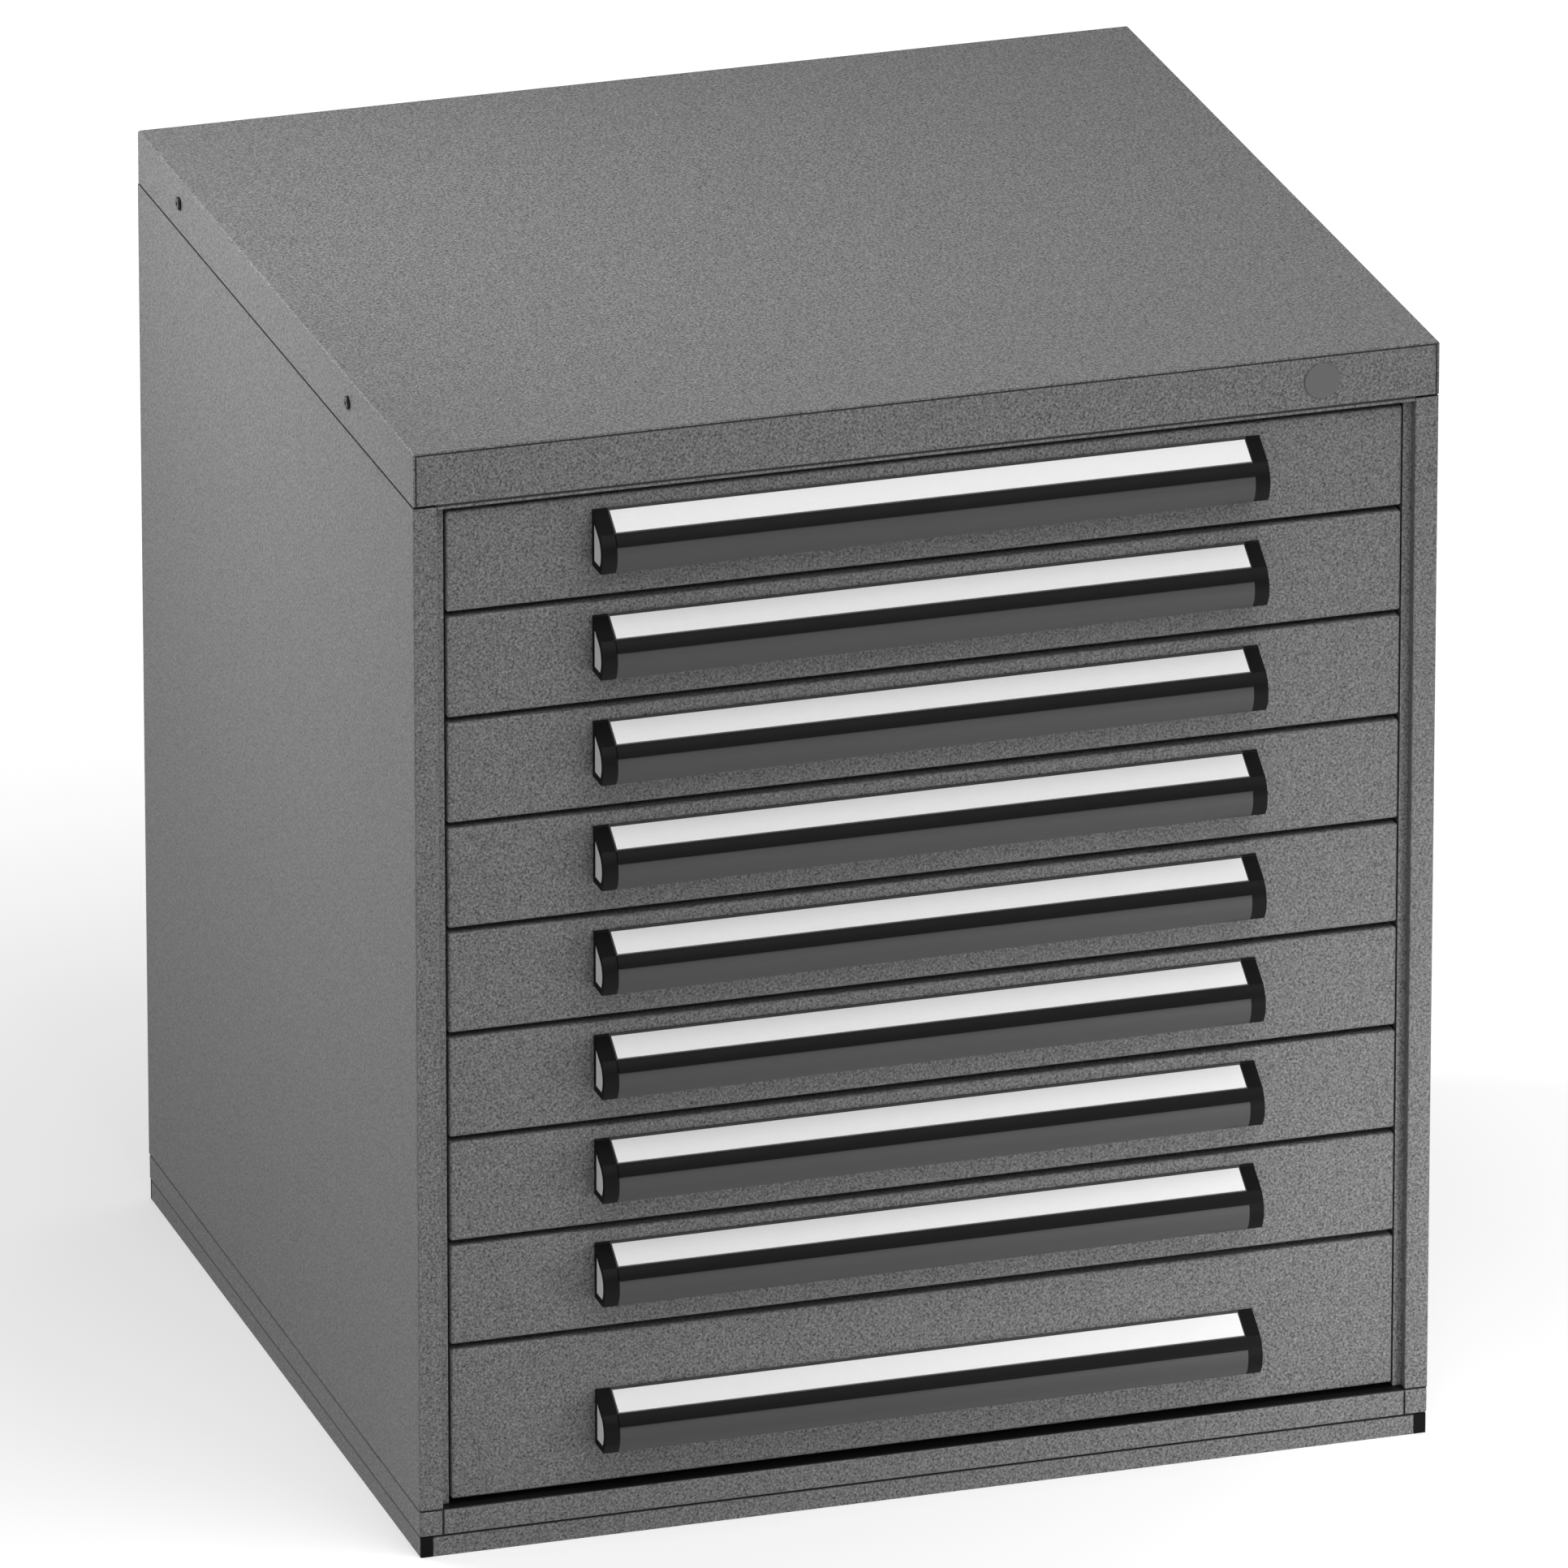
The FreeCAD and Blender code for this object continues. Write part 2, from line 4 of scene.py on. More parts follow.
import bmesh
import bpy
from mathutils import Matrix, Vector


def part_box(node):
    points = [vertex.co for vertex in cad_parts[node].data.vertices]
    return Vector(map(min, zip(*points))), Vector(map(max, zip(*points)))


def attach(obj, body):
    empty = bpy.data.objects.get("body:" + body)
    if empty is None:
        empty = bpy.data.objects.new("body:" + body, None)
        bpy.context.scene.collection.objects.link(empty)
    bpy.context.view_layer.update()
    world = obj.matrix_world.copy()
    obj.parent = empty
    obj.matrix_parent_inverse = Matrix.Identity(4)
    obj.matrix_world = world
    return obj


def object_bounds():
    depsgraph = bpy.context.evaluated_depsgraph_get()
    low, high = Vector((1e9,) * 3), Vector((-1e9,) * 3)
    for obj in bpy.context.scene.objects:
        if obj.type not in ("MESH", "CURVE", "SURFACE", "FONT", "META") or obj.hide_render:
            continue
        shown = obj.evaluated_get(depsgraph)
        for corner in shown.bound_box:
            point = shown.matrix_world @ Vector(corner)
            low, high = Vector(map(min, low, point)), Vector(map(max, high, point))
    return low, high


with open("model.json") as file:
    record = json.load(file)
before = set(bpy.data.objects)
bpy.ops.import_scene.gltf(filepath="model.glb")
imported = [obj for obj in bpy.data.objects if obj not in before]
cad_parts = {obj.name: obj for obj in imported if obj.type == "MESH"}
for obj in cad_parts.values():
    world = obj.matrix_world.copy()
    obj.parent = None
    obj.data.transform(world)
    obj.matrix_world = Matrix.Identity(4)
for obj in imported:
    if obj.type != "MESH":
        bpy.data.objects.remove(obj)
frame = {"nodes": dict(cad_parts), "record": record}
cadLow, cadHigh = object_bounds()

cadNodes = frame["nodes"]
drawerNumbers = range(1, sum(name.endswith("_handle") for name in cadNodes) + 1)


# Node trees

class Link:  # an output socket, so that an expression on it adds its own Math nodes
    def __init__(self, graph, socket):
        self.graph = graph
        self.socket = socket

    def maths(self, operation, *others):
        node = self.graph.add("ShaderNodeMath", {"operation": operation}, dict(enumerate(others)))
        return self.graph.out(node)

    def __add__(self, other):
        return self.maths("ADD", self, other)

    def __radd__(self, other):
        return self.maths("ADD", other, self)

    def __sub__(self, other):
        return self.maths("SUBTRACT", self, other)

    def __rsub__(self, other):
        return self.maths("SUBTRACT", other, self)

    def __mul__(self, other):
        return self.maths("MULTIPLY", self, other)

    def __rmul__(self, other):
        return self.maths("MULTIPLY", other, self)

    def __abs__(self):
        return self.maths("ABSOLUTE", self)

    def above(self, level):
        return self.maths("GREATER_THAN", self, level)

    def highest(self, other):
        return self.maths("MAXIMUM", self, other)

    def swing(self, width):  # a pattern from 0 to 1, made this wide with its middle at 0
        return (self - 0.5) * width

    def ramped(self, start, end):  # 0 up to start, 1 from end on
        node = self.graph.add("ShaderNodeMapRange", {"clamp": True},
                              {"Value": self, "From Min": start, "From Max": end})
        return self.graph.out(node)


class Graph:  # a node tree that is filled in by one method
    def __init__(self, tree):
        self.tree = tree
        tree.nodes.clear()

    def add(self, kind, settings=None, values=None):
        node = self.tree.nodes.new(kind)
        for name, setting in (settings or {}).items():
            setattr(node, name, setting)
        for place, value in (values or {}).items():
            if isinstance(value, Link):
                self.tree.links.new(value.socket, node.inputs[place])
            else:
                node.inputs[place].default_value = value
        return node

    def out(self, node, name=0):
        return Link(self, node.outputs[name])


# Sockets that share their names with others on the same node go by number
mixFirst, mixSecond, mixResult = 6, 7, 2
randomLow, randomHigh, randomResult = 2, 3, 1


def grey(level):
    return (level, level, level, 1)


class Finish(Graph):  # a surface finish on one Principled shader
    def __init__(self, name, fixed):
        self.material = bpy.data.materials.new(name)
        self.material.use_nodes = True
        super().__init__(self.material.node_tree)
        self.shader = self.add("ShaderNodeBsdfPrincipled", {}, fixed)
        output = self.add("ShaderNodeOutputMaterial")
        self.tree.links.new(self.shader.outputs[0], output.inputs["Surface"])
        self.place = self.out(self.add("ShaderNodeTexCoord"), "Object")

    def axes(self):  # the place's three coordinates, in metres
        parts = self.add("ShaderNodeSeparateXYZ", {}, {"Vector": self.place})
        return [self.out(parts, axis) for axis in "XYZ"]

    def turned(self, angles):
        node = self.add("ShaderNodeMapping", {}, {"Vector": self.place, "Rotation": angles})
        return self.out(node)

    def stretched(self, scale):  # under 1 draws a pattern out along that axis
        node = self.add("ShaderNodeMapping", {}, {"Vector": self.place, "Scale": scale})
        return self.out(node)

    def noise(self, scale, detail=2.0, falloff=0.5, place=None):
        node = self.add("ShaderNodeTexNoise", {}, {
            "Vector": place or self.place, "Scale": scale, "Detail": detail, "Roughness": falloff})
        return self.out(node, "Fac")

    def patches(self, scale):  # one random level for each cell
        cells = self.add("ShaderNodeTexVoronoi", {}, {"Vector": self.place, "Scale": scale})
        parts = self.add("ShaderNodeSeparateColor", {}, {"Color": self.out(cells, "Color")})
        return self.out(parts)

    def blend(self, share, first, second):
        node = self.add("ShaderNodeMix", {"data_type": "RGBA"}, {
            "Factor": share, mixFirst: first, mixSecond: second})
        return self.out(node, mixResult)

    def colour(self, value):
        self.tree.links.new(value.socket, self.shader.inputs["Base Color"])

    def rough(self, value):
        self.tree.links.new(value.socket, self.shader.inputs["Roughness"])

    def metal(self, value):
        self.tree.links.new(value.socket, self.shader.inputs["Metallic"])

    def relief(self, height, settings):
        node = self.add("ShaderNodeBump", {}, {
            "Height": height, "Distance": settings["depth"], "Strength": settings["relief"]})
        self.tree.links.new(node.outputs[0], self.shader.inputs["Normal"])

    def dressed(self, fine, broad, settings):  # tone, roughness and relief from two patterns
        share = fine.swing(settings["fineTone"]) + broad.swing(settings["broadTone"]) + 0.5
        dark = settings["tone"] * (1 - settings["contrast"])
        light = min(settings["tone"] * (1 + settings["contrast"]), 1.0)
        self.colour(self.blend(share, grey(dark), grey(light)))
        uneven = fine.swing(settings["fineRough"]) + broad.swing(settings["broadRough"])
        self.rough(uneven + settings["roughness"])
        self.relief(fine, settings)


# Finishes: tone is a linear grey, depth the height of the bumps in metres and relief how strongly
# they show; detail and falloff are a noise's finer layers and how much of it each one adds

coatSettings = {
    "tone": 0.150,
    "gloss": 0.35,
    "roughness": 0.52,
    "grainPerMetre": 640.0,
    "grainDetail": 0.8,
    "speckle": 1.40,  # how far the grain takes the tone to either side
    "grainRough": 0.16,
    "grainHeight": 0.65,  # the grain's part of the relief
    "turn": (0.6, 0.35, 0.9),  # so that no face runs along the noise's own grid, where it fades
    "peelPerMetre": 230.0,
    "peelDetail": 1.0,
    "peelRough": 0.10,
    "peelHeight": 0.35,
    "cloudsPerMetre": 2.6,
    "cloudTone": 0.03,
    "depth": 0.0003,
    "relief": 0.35,
    "shadeLineHalf": 0.0006,  # half the width of the painted shade line along a seam
    # the near-black tone of the painted shade lines
    "shadeLineTone": 0.006,
    "shadeLineDrop": 0.00075,  # how far under the cover's rim its painted shade line lies
    "weldFromSide": 0.0175,  # the weld groove on the base's front rail, in line with the post's edge, also gets a painted shade line
    "weldReach": 0.001,  # how far behind the front that painted shade line shows
}


def seamBetween(lower, upper):
    return (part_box(lower)[1].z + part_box(upper)[0].z) / 2


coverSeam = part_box("top_cover")[0].z - coatSettings["shadeLineDrop"]
baseSeams = [seamBetween("plinth", "base_frame"), seamBetween("base_frame", "back_panel")]
baseLow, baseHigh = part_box("base_frame")
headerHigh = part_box("front_header")[1]


def housingShadeLines(across, depth, upward):  # how far a point lies from each seam, where a painted shade line is drawn
    return [abs(upward - level) for level in baseSeams + [coverSeam]]


# the header's seam and its top and end edges, where painted shade lines are drawn
def headerShadeLines(across, depth, upward):
    return [abs(upward - coverSeam), abs(upward - headerHigh.z), abs(abs(across) - headerHigh.x)]


# the base's seams, and its weld groove on the front only, where painted shade lines are drawn
def baseShadeLines(across, depth, upward):
    weld = baseHigh.x - coatSettings["weldFromSide"]
    behind = depth.above(baseLow.y + coatSettings["weldReach"])
    return [abs(upward - level) for level in baseSeams] + [abs(abs(across) - weld) + behind]


def speckledCoat(name, settings, shadeLinesTo=None):
    coat = Finish(name, {"Specular IOR Level": settings["gloss"]})
    place = coat.turned(settings["turn"])
    grain = coat.noise(settings["grainPerMetre"], settings["grainDetail"], place=place)
    peel = coat.noise(settings["peelPerMetre"], settings["peelDetail"], place=place)
    clouds = coat.noise(settings["cloudsPerMetre"])
    share = grain.swing(settings["speckle"]) + clouds.swing(settings["cloudTone"]) + 0.5
    skin = coat.blend(share, grey(0.0), grey(settings["tone"] * 2))
    half = settings["shadeLineHalf"]
    shadeLineGaps = shadeLinesTo(*coat.axes()) if shadeLinesTo else []
    # a near-black painted shade line along each seam and groove, in place of the shade inside the gap
    for gap in shadeLineGaps:
        skin = coat.blend(gap.ramped(half, half * 2), grey(settings["shadeLineTone"]), skin)
    coat.colour(skin)
    uneven = peel.swing(settings["peelRough"]) + grain.swing(settings["grainRough"])
    coat.rough(uneven + settings["roughness"])
    coat.relief(grain * settings["grainHeight"] + peel * settings["peelHeight"], settings)
    return coat.material


satinSettings = {
    "tone": 0.063,
    "contrast": 0.3,  # how far the tone goes to either side, as a share of it
    "gloss": 0.3,
    "roughness": 0.42,
    "linesPerMetre": 1400.0,
    "falloff": 0.6,
    "alongHandle": 0.012,  # how little the drawn lines change along the handle
    "fineTone": 0.35,
    "fineRough": 0.22,
    "cloudsPerMetre": 14.0,
    "broadTone": 0.15,
    "broadRough": 0.08,
    "depth": 0.00008,
    "relief": 0.25,
}


def satinHandle(name, settings):
    satin = Finish(name, {"Specular IOR Level": settings["gloss"]})
    drawn = satin.stretched((settings["alongHandle"], 1.0, 1.0))
    lines = satin.noise(settings["linesPerMetre"], falloff=settings["falloff"], place=drawn)
    satin.dressed(lines, satin.noise(settings["cloudsPerMetre"]), settings)
    return satin.material


mouldedSettings = {  # what all the moulded pieces share
    "contrast": 0.1,
    "falloff": 0.55,
    "fineTone": 0.2,
    "fineRough": 0.2,
    "flowPerMetre": 30.0,
    "broadTone": 0.3,
    "broadRough": 0.12,
    "relief": 0.3,
}
plasticSettings = {
    "trimBlack": {
        "tone": 0.003, "gloss": 0.12, "roughness": 0.5, "grainPerMetre": 1700.0, "depth": 0.00012},
    "footBlack": {
        "tone": 0.004, "gloss": 0.10, "roughness": 0.68, "grainPerMetre": 900.0, "depth": 0.0002},
    "plugGrey": {
        "tone": 0.118, "gloss": 0.40, "roughness": 0.38, "grainPerMetre": 1500.0, "depth": 0.00006},
    "fieldWhite": {
        "tone": 0.92, "gloss": 0.35, "roughness": 0.45, "grainPerMetre": 1500.0, "depth": 0.00006},
}


def mouldedPlastic(name):
    settings = mouldedSettings | plasticSettings[name]
    plastic = Finish(name, {"Specular IOR Level": settings["gloss"]})
    grain = plastic.noise(settings["grainPerMetre"], falloff=settings["falloff"])
    plastic.dressed(grain, plastic.noise(settings["flowPerMetre"]), settings)
    return plastic.material


cardSettings = {
    "tone": 0.95,
    "contrast": 0.04,
    "gloss": 0.3,
    "roughness": 0.55,
    "film": 0.25,  # the clear film over the card
    "filmRoughness": 0.12,
    "fibresPerMetre": 900.0,
    "detail": 3.0,
    "falloff": 0.65,
    "alongLabel": 0.18,
    "fineTone": 0.8,
    "fineRough": 0.2,
    "cloudsPerMetre": 60.0,
    "broadTone": 0.5,
    "broadRough": 0.0,
    "depth": 0.00003,
    "relief": 0.25,
}


def labelCard(name, settings):
    card = Finish(name, {"Specular IOR Level": settings["gloss"], "Coat Weight": settings["film"],
                         "Coat Roughness": settings["filmRoughness"]})
    laid = card.stretched((settings["alongLabel"], 1.0, 1.0))
    fibres = card.noise(settings["fibresPerMetre"], settings["detail"], settings["falloff"], laid)
    card.dressed(fibres, card.noise(settings["cloudsPerMetre"]), settings)
    return card.material


oxideSettings = {
    "tone": 0.020,
    "darkest": 0.6,  # as shares of the tone
    "lightest": 1.5,
    "metallic": 0.75,
    "roughness": 0.34,
    "grainPerMetre": 1900.0,
    "detail": 3.0,
    "falloff": 0.6,
    "grainRough": 0.25,
    "wornPerMetre": 420.0,
    "wornFrom": 0.62,  # where on the noise bare metal starts to show, and where it shows fully
    "wornTo": 0.78,
    "wornShare": 0.4,
    "wornTone": 0.16,
    "wornSmooth": 0.06,
    "depth": 0.00008,
    "relief": 0.3,
}


def blackOxide(name, settings):
    oxide = Finish(name, {"Metallic": settings["metallic"]})
    grain = oxide.noise(settings["grainPerMetre"], settings["detail"], settings["falloff"])
    worn = oxide.noise(settings["wornPerMetre"]).ramped(settings["wornFrom"], settings["wornTo"])
    dark = grey(settings["tone"] * settings["darkest"])
    light = grey(settings["tone"] * settings["lightest"])
    black = oxide.blend(grain, dark, light)
    oxide.colour(oxide.blend(worn * settings["wornShare"], black, grey(settings["wornTone"])))
    uneven = grain.swing(settings["grainRough"]) + settings["roughness"]
    oxide.rough(uneven - worn * settings["wornSmooth"])
    oxide.relief(grain, settings)
    return oxide.material


zincSettings = {
    "light": (0.52, 0.53, 0.55, 1),
    "dark": (0.27, 0.28, 0.30, 1),
    "metallic": 0.95,
    "brighter": 0.04,  # what the rolled lines add to it
    "roughness": 0.40,
    "linesPerMetre": 1200.0,
    "falloff": 0.6,
    "alongRail": 0.02,
    "lineTone": 1.5,
    "lineRough": 0.3,
    "patchesPerMetre": 70.0,
    "patchTone": 0.5,
    "patchRough": 0.12,
    "roller": (0.16, 0.17, 0.18, 1),
    "rollerPerMetre": 2100.0,
    "rollerSmooth": 0.10,
    "depth": 0.00006,
    "relief": 0.3,
}
carriageSettings = {
    "rollerWidth": 0.010,  # from a plate's face to its rollers' ends
    "plate": 0.002,
    "endToAxle": 0.016,
    "outerAxles": 0.236,  # between the two axles on a plate's outside
    "innerAxles": 0.261,  # between the two on its inside
    "clear": 0.00005,  # how far past a plate's faces its own tone reaches
}
carriageLow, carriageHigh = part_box("drawer_1_carriage")
plateOuter = carriageHigh.x - carriageSettings["rollerWidth"]
plateInner = plateOuter - carriageSettings["plate"]


def zincPlate(name, settings, withRollers):
    zinc = Finish(name, {})
    patch = zinc.patches(settings["patchesPerMetre"])
    rolled = zinc.stretched((1.0, settings["alongRail"], 1.0))
    lines = zinc.noise(settings["linesPerMetre"], falloff=settings["falloff"], place=rolled)
    share = patch.swing(settings["patchTone"]) + lines.swing(settings["lineTone"]) + 0.5
    skin = zinc.blend(share, settings["dark"], settings["light"])
    uneven = lines.swing(settings["lineRough"]) + patch.swing(settings["patchRough"])
    rough = uneven + settings["roughness"]
    if withRollers:
        outward = abs(zinc.axes()[0])
        clear = carriageSettings["clear"]
        beyond = outward.above(plateOuter + clear) + (1.0 - outward.above(plateInner - clear))
        steel = zinc.blend(zinc.noise(settings["rollerPerMetre"]), settings["roller"], settings["dark"])
        skin = zinc.blend(beyond, skin, steel)
        rough = rough - beyond * settings["rollerSmooth"]
    zinc.colour(skin)
    zinc.rough(rough)
    zinc.metal(lines * settings["brighter"] + settings["metallic"])
    zinc.relief(lines, settings)
    return zinc.material


finishes = {
    "housing_paint": speckledCoat("housingCoat", coatSettings, housingShadeLines),
    "drawer_paint": speckledCoat("drawerCoat", coatSettings),
    "handle_grey": satinHandle("handleSatin", satinSettings),
    "trim_black": mouldedPlastic("trimBlack"),
    "label_white": labelCard("labelCard", cardSettings),
    "plug_grey": mouldedPlastic("plugGrey"),
    "foot_black": mouldedPlastic("footBlack"),
    "screw_black": blackOxide("screwOxide", oxideSettings),
    "rail_zinc": zincPlate("railZinc", zincSettings, False),
    "carriage_zinc": zincPlate("carriageZinc", zincSettings, True),
}
ownFinishes = {
    "front_header": speckledCoat("headerCoat", coatSettings, headerShadeLines),
    "base_frame": speckledCoat("baseCoat", coatSettings, baseShadeLines),
}
fieldWhite = mouldedPlastic("fieldWhite")

for part in frame["record"]["subparts"]:
    mesh = cadNodes[part["node"]].data
    mesh.materials.clear()
    mesh.materials.append(ownFinishes.get(part["node"], finishes[part["material_slot"]]))
print("finishes:", len(finishes) + len(ownFinishes) + 1, "on", len(cadNodes), "parts")


# Weld spots and rivet heads, which Geometry Nodes set on every place of a row

def placesAlong(first, last, count):
    step = (last - first) / (count - 1)
    return [first + step * turn for turn in range(count)]


rowSettings = {
    "trayInside": 0.3268,  # a tray wall's inner face, from the middle
    "weldsFromFront": 0.045,
    "weldsFromBack": 0.035,
    "weldCount": 9,
    "railSheet": 0.002,
    "rivetFromFront": 0.0085,
    "rivetFromBack": 0.010,
    "rivetPitch": 0.024,
}


def weldSpots(settings):
    low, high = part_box("drawer_1_box")
    front = low.y + settings["weldsFromFront"]
    back = high.y - settings["weldsFromBack"]
    return [(settings["trayInside"], y) for y in placesAlong(front, back, settings["weldCount"])]


def axleSpots(settings):
    front = carriageLow.y + settings["endToAxle"]
    back = carriageHigh.y - settings["endToAxle"]
    return [(plateInner, back), (plateInner, back - settings["outerAxles"]),
            (plateOuter, front), (plateOuter, front + settings["innerAxles"])]


def rivetSpots(settings):
    low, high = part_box("right_cabinet_rails")
    front = low.y + settings["rivetFromFront"]
    back = high.y - settings["rivetFromBack"]
    web = high.x - settings["railSheet"]
    return [(web, front), (web, back - settings["rivetPitch"]), (web, back)]


headSettings = {
    "trayWelds": {  # press marks where each tray is welded to its rails
        "radius": 0.0030, "height": 0.00030, "uneven": 0.16, "finish": "drawer_paint",
        "spots": weldSpots(rowSettings)},
    "axleRivets": {  # on the plate's side away from each roller
        "radius": 0.0046, "height": 0.00070, "uneven": 0.0, "finish": "carriage_zinc",
        "spots": axleSpots(carriageSettings)},
    "railRivets": {  # through the rails into the posts
        "radius": 0.0036, "height": 0.00085, "uneven": 0.0, "finish": "rail_zinc",
        "spots": rivetSpots(rowSettings)},
}
ballFaces = {"Segments": 16, "Rings": 8}


def makeHeadTree():
    group = bpy.data.node_groups.new("lowHeads", "GeometryNodeTree")
    sockets = [("Places", "Geometry"), ("Head Radius", "Float"), ("Head Height", "Float"),
               ("Uneven", "Float"), ("Seed", "Int"), ("Finish", "Material")]
    for name, kind in sockets:
        group.interface.new_socket(name, in_out="INPUT", socket_type="NodeSocket" + kind)
    group.interface.new_socket("Heads", in_out="OUTPUT", socket_type="NodeSocketGeometry")
    heads = Graph(group)
    given = heads.add("NodeGroupInput")
    radius = heads.out(given, "Head Radius")
    height = heads.out(given, "Head Height")
    uneven = heads.out(given, "Uneven")
    size = heads.out(heads.add("ShaderNodeCombineXYZ", {}, {"X": height, "Y": radius, "Z": radius}))
    ball = heads.out(heads.add("GeometryNodeMeshUVSphere", {}, ballFaces | {"Radius": 1.0}))
    lens = heads.out(heads.add("GeometryNodeTransform", {}, {"Geometry": ball, "Scale": size}))
    scale = heads.out(heads.add("FunctionNodeRandomValue", {"data_type": "FLOAT"}, {
        randomLow: 1.0 - uneven, randomHigh: 1.0 + uneven, "Seed": heads.out(given, "Seed")}),
        randomResult)
    rows = heads.out(heads.add("GeometryNodeInstanceOnPoints", {}, {
        "Points": heads.out(given, "Places"), "Instance": lens, "Scale": scale}))
    whole = heads.out(heads.add("GeometryNodeRealizeInstances", {}, {"Geometry": rows}))
    smooth = heads.out(heads.add("GeometryNodeSetShadeSmooth", {}, {"Geometry": whole}))
    painted = heads.out(heads.add("GeometryNodeSetMaterial", {}, {
        "Geometry": smooth, "Material": heads.out(given, "Finish")}))
    heads.add("NodeGroupOutput", {}, {"Heads": painted})
    return group


headTree = makeHeadTree()


def setHeads(name, settings, levels, body, seed):
    spots = [(side * x, y, z) for z in levels for x, y in settings["spots"] for side in (-1, 1)]
    mesh = bpy.data.meshes.new(name)
    mesh.from_pydata(spots, [], [])
    row = bpy.data.objects.new(name, mesh)
    bpy.context.scene.collection.objects.link(row)
    inputs = {"Head Radius": settings["radius"], "Head Height": settings["height"],
              "Uneven": settings["uneven"], "Seed": seed, "Finish": finishes[settings["finish"]]}
    modifier = row.modifiers.new("heads", "NODES")
    modifier.node_group = headTree
    for item in headTree.interface.items_tree:
        if item.name in inputs:
            modifier[item.identifier] = inputs[item.name]
    ready = bpy.context.evaluated_depsgraph_get()
    plain = bpy.data.meshes.new_from_object(row.evaluated_get(ready), depsgraph=ready)
    row.modifiers.clear()
    row.data = plain
    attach(row, body)


def railLevel(number):  # the height of a drawer's roller axles
    low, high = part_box("drawer_%d_carriage" % number)
    return (low.z + high.z) / 2


railLevels = {number: railLevel(number) for number in drawerNumbers}
setHeads("railRivets", headSettings["railRivets"], railLevels.values(), "housing", 1)
for number, level in railLevels.items():
    setHeads("trayWelds%d" % number, headSettings["trayWelds"], [level], "drawer_%d" % number, number)
    setHeads("axleRivets%d" % number, headSettings["axleRivets"], [level], "carriage_%d" % number, number)
print("welds and rivets: one set for the housing and two for each drawer")


# White inlays in the fields of the handles' end caps

inlaySettings = {
    "recess": 0.0008,  # from a cap's outer face to the floor of its field
    "thickness": 0.00065,
    "gap": 0.00012,  # round the inlay
    "merge": 1e-6,
    "onFloor": 1e-5,  # how near to the field's floor a corner has to lie
}


def makeInlays(number, settings):
    trim = "drawer_%d_handle_trim" % number
    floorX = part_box(trim)[1].x - settings["recess"]
    shape = bmesh.new()
    shape.from_mesh(cadNodes[trim].data)
    bmesh.ops.remove_doubles(shape, verts=shape.verts, dist=settings["merge"])
    others = [face for face in shape.faces
              if any(abs(abs(corner.co.x) - floorX) > settings["onFloor"] for corner in face.verts)]
    bmesh.ops.delete(shape, geom=others, context="FACES")
    bmesh.ops.dissolve_faces(shape, faces=shape.faces)
    for face in list(shape.faces):
        side = math.copysign(1, face.verts[0].co.x)
        bmesh.ops.inset_individual(shape, faces=[face], thickness=settings["gap"], use_even_offset=True)
        rim = [other for other in shape.faces if other is not face
               and math.copysign(1, other.verts[0].co.x) == side]
        bmesh.ops.delete(shape, geom=rim, context="FACES")
        made = bmesh.ops.extrude_face_region(shape, geom=[face], use_keep_orig=True)
        for part in made["geom"]:
            if isinstance(part, bmesh.types.BMVert):
                part.co.x += side * settings["thickness"]
    bmesh.ops.recalc_face_normals(shape, faces=shape.faces)
    mesh = bpy.data.meshes.new("endInlays%d" % number)
    shape.to_mesh(mesh)
    shape.free()
    mesh.materials.append(fieldWhite)
    inlays = bpy.data.objects.new("endInlays%d" % number, mesh)
    bpy.context.scene.collection.objects.link(inlays)
    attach(inlays, "drawer_%d" % number)


for number in drawerNumbers:
    makeInlays(number, inlaySettings)
print("inlays: two for each of", len(drawerNumbers), "handles")


# Stage, lights and camera

stageSettings = {
    "floorHalf": 40.0,
    "tone": 0.80,
    "shownInPaintedShade": 0.41,  # what the camera sees on top of the light up to nearTo metres from the middle, lower than farther out: a painted shade round the cabinet
    "shownFar": 0.66,  # and from farFrom metres on
    "nearTo": 0.55,
    "farFrom": 1.6,
}


def floorFinish(settings):
    material = bpy.data.materials.new("paperFloor")
    material.use_nodes = True
    paper = Graph(material.node_tree)
    rays = paper.add("ShaderNodeLightPath")
    seen = paper.out(rays, "Is Camera Ray").highest(paper.out(rays, "Is Glossy Ray"))
    seen = seen.highest(paper.out(rays, "Is Transmission Ray"))
    place = paper.out(paper.add("ShaderNodeTexCoord"), "Object")
    reach = paper.out(paper.add("ShaderNodeVectorMath", {"operation": "LENGTH"}, {0: place}), "Value")
    # a lower glow near the middle: painted shade on the floor round the cabinet
    far = reach.ramped(settings["nearTo"], settings["farFrom"])
    level = far * (settings["shownFar"] - settings["shownInPaintedShade"]) + settings["shownInPaintedShade"]
    matt = paper.add("ShaderNodeBsdfDiffuse", {}, {"Color": grey(settings["tone"])})
    glow = paper.add("ShaderNodeEmission", {}, {"Color": grey(1.0), "Strength": seen * level})
    both = paper.add("ShaderNodeAddShader", {}, {0: paper.out(matt), 1: paper.out(glow)})
    paper.add("ShaderNodeOutputMaterial", {}, {"Surface": paper.out(both)})
    return material


def makeFloor(settings):
    half = settings["floorHalf"]
    mesh = bpy.data.meshes.new("paperFloor")
    corners = [(-half, -half, 0), (half, -half, 0), (half, half, 0), (-half, half, 0)]
    mesh.from_pydata(corners, [], [(0, 1, 2, 3)])
    mesh.materials.append(floorFinish(settings))
    floor = bpy.data.objects.new("paperFloor", mesh)
    bpy.context.scene.collection.objects.link(floor)


skySettings = {"light": 0.47, "shown": 1.0}  # what it gives the object, and what the camera sees


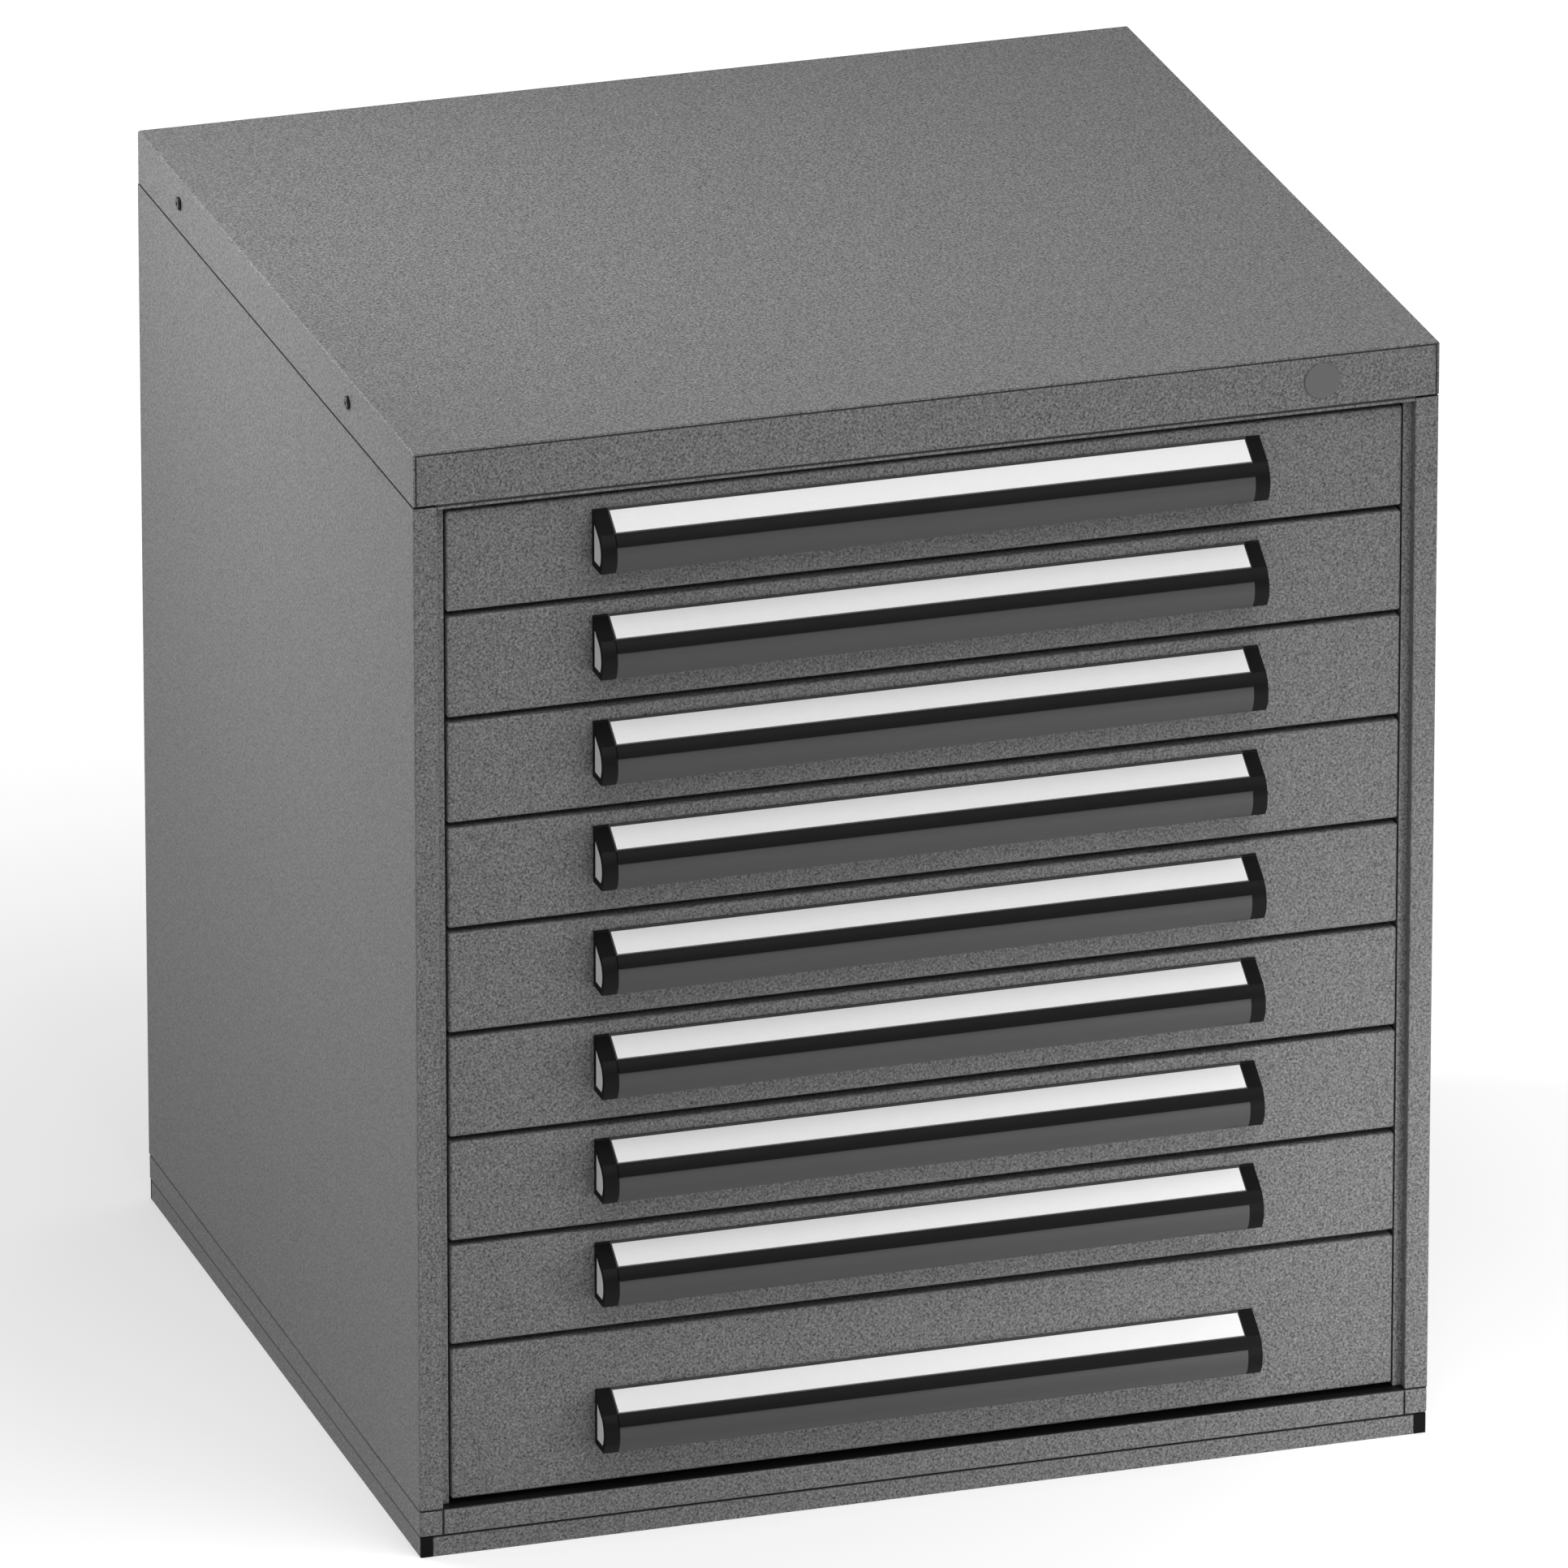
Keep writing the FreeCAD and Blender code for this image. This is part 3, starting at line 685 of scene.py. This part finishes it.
def makeSky(settings):
    world = bpy.data.worlds.new("studioSky")
    bpy.context.scene.world = world
    world.use_nodes = True
    sky = Graph(world.node_tree)
    seen = sky.out(sky.add("ShaderNodeLightPath"), "Is Camera Ray")
    strength = seen * (settings["shown"] - settings["light"]) + settings["light"]
    light = sky.add("ShaderNodeBackground", {}, {"Color": grey(1.0), "Strength": strength})
    sky.add("ShaderNodeOutputWorld", {}, {"Surface": sky.out(light)})


lampSettings = {  # spread is how wide the light fans out, in degrees
    "overheadLamp": {
        "place": (0.6, -1.9, 2.9), "aim": (0.0, -0.2, 0.5),
        "size": 2.5, "spread": 180.0, "watts": 41.5},
    "backLeftLamp": {
        "place": (-1.25, 0.65, 1.62), "aim": (-0.36, 0.12, 1.05),
        "size": 0.7, "spread": 65.0, "watts": 3.8},
    "lowRightLamp": {
        "place": (0.85, -1.1, 0.2), "aim": (0.3, -0.34, 0.06),
        "size": 0.34, "spread": 90.0, "watts": 1.3},
}


def makeLamp(name, settings):
    lamp = bpy.data.lights.new(name, "AREA")
    lamp.shape = "DISK"
    lamp.size = settings["size"]
    lamp.spread = math.radians(settings["spread"])
    lamp.energy = settings["watts"]
    holder = bpy.data.objects.new(name, lamp)
    holder.location = settings["place"]
    way = Vector(settings["aim"]) - Vector(settings["place"])
    holder.rotation_euler = way.to_track_quat("-Z", "Y").to_euler()
    holder.visible_camera = False
    bpy.context.scene.collection.objects.link(holder)


cameraSettings = {
    "azimuth": -17.5,  # degrees round from the front, to the left
    "elevation": 21.5,
    "lens": 500.0,  # long, so that parallel edges stay nearly parallel
    "sensor": 36.0,
    "fill": 0.985,  # share of the picture's height that the cabinet takes
    "nearest": 0.1,
    "farthest": 200.0,
}


def makeCamera(settings):
    turn = math.radians(settings["azimuth"])
    rise = math.radians(settings["elevation"])
    back = Vector((math.sin(turn) * math.cos(rise), -math.cos(turn) * math.cos(rise), math.sin(rise)))
    right = Vector((math.cos(turn), math.sin(turn), 0))
    up = back.cross(right)
    corners = [Vector((x, y, z)) for x in (cadLow.x, cadHigh.x)
               for y in (cadLow.y, cadHigh.y) for z in (cadLow.z, cadHigh.z)]
    across = [corner.dot(right) for corner in corners]
    upward = [corner.dot(up) for corner in corners]
    depth = sum(corner.dot(back) for corner in corners) / len(corners)
    sideways = right * (min(across) + max(across)) / 2
    middle = sideways + up * (min(upward) + max(upward)) / 2 + back * depth
    distance = (max(upward) - min(upward)) / settings["fill"] * settings["lens"] / settings["sensor"]
    data = bpy.data.cameras.new("photoCamera")
    data.lens = settings["lens"]
    data.sensor_width = settings["sensor"]
    data.clip_start = settings["nearest"]
    data.clip_end = settings["farthest"]
    camera = bpy.data.objects.new("photoCamera", data)
    camera.location = middle + back * distance
    camera.rotation_euler = back.to_track_quat("Z", "Y").to_euler()
    bpy.context.scene.collection.objects.link(camera)
    bpy.context.scene.camera = camera


makeFloor(stageSettings)
makeSky(skySettings)
for name, settings in lampSettings.items():
    makeLamp(name, settings)
makeCamera(cameraSettings)
bpy.context.scene.view_settings.view_transform = "Standard"
print("stage: floor, sky,", len(lampSettings), "lamps and the camera")
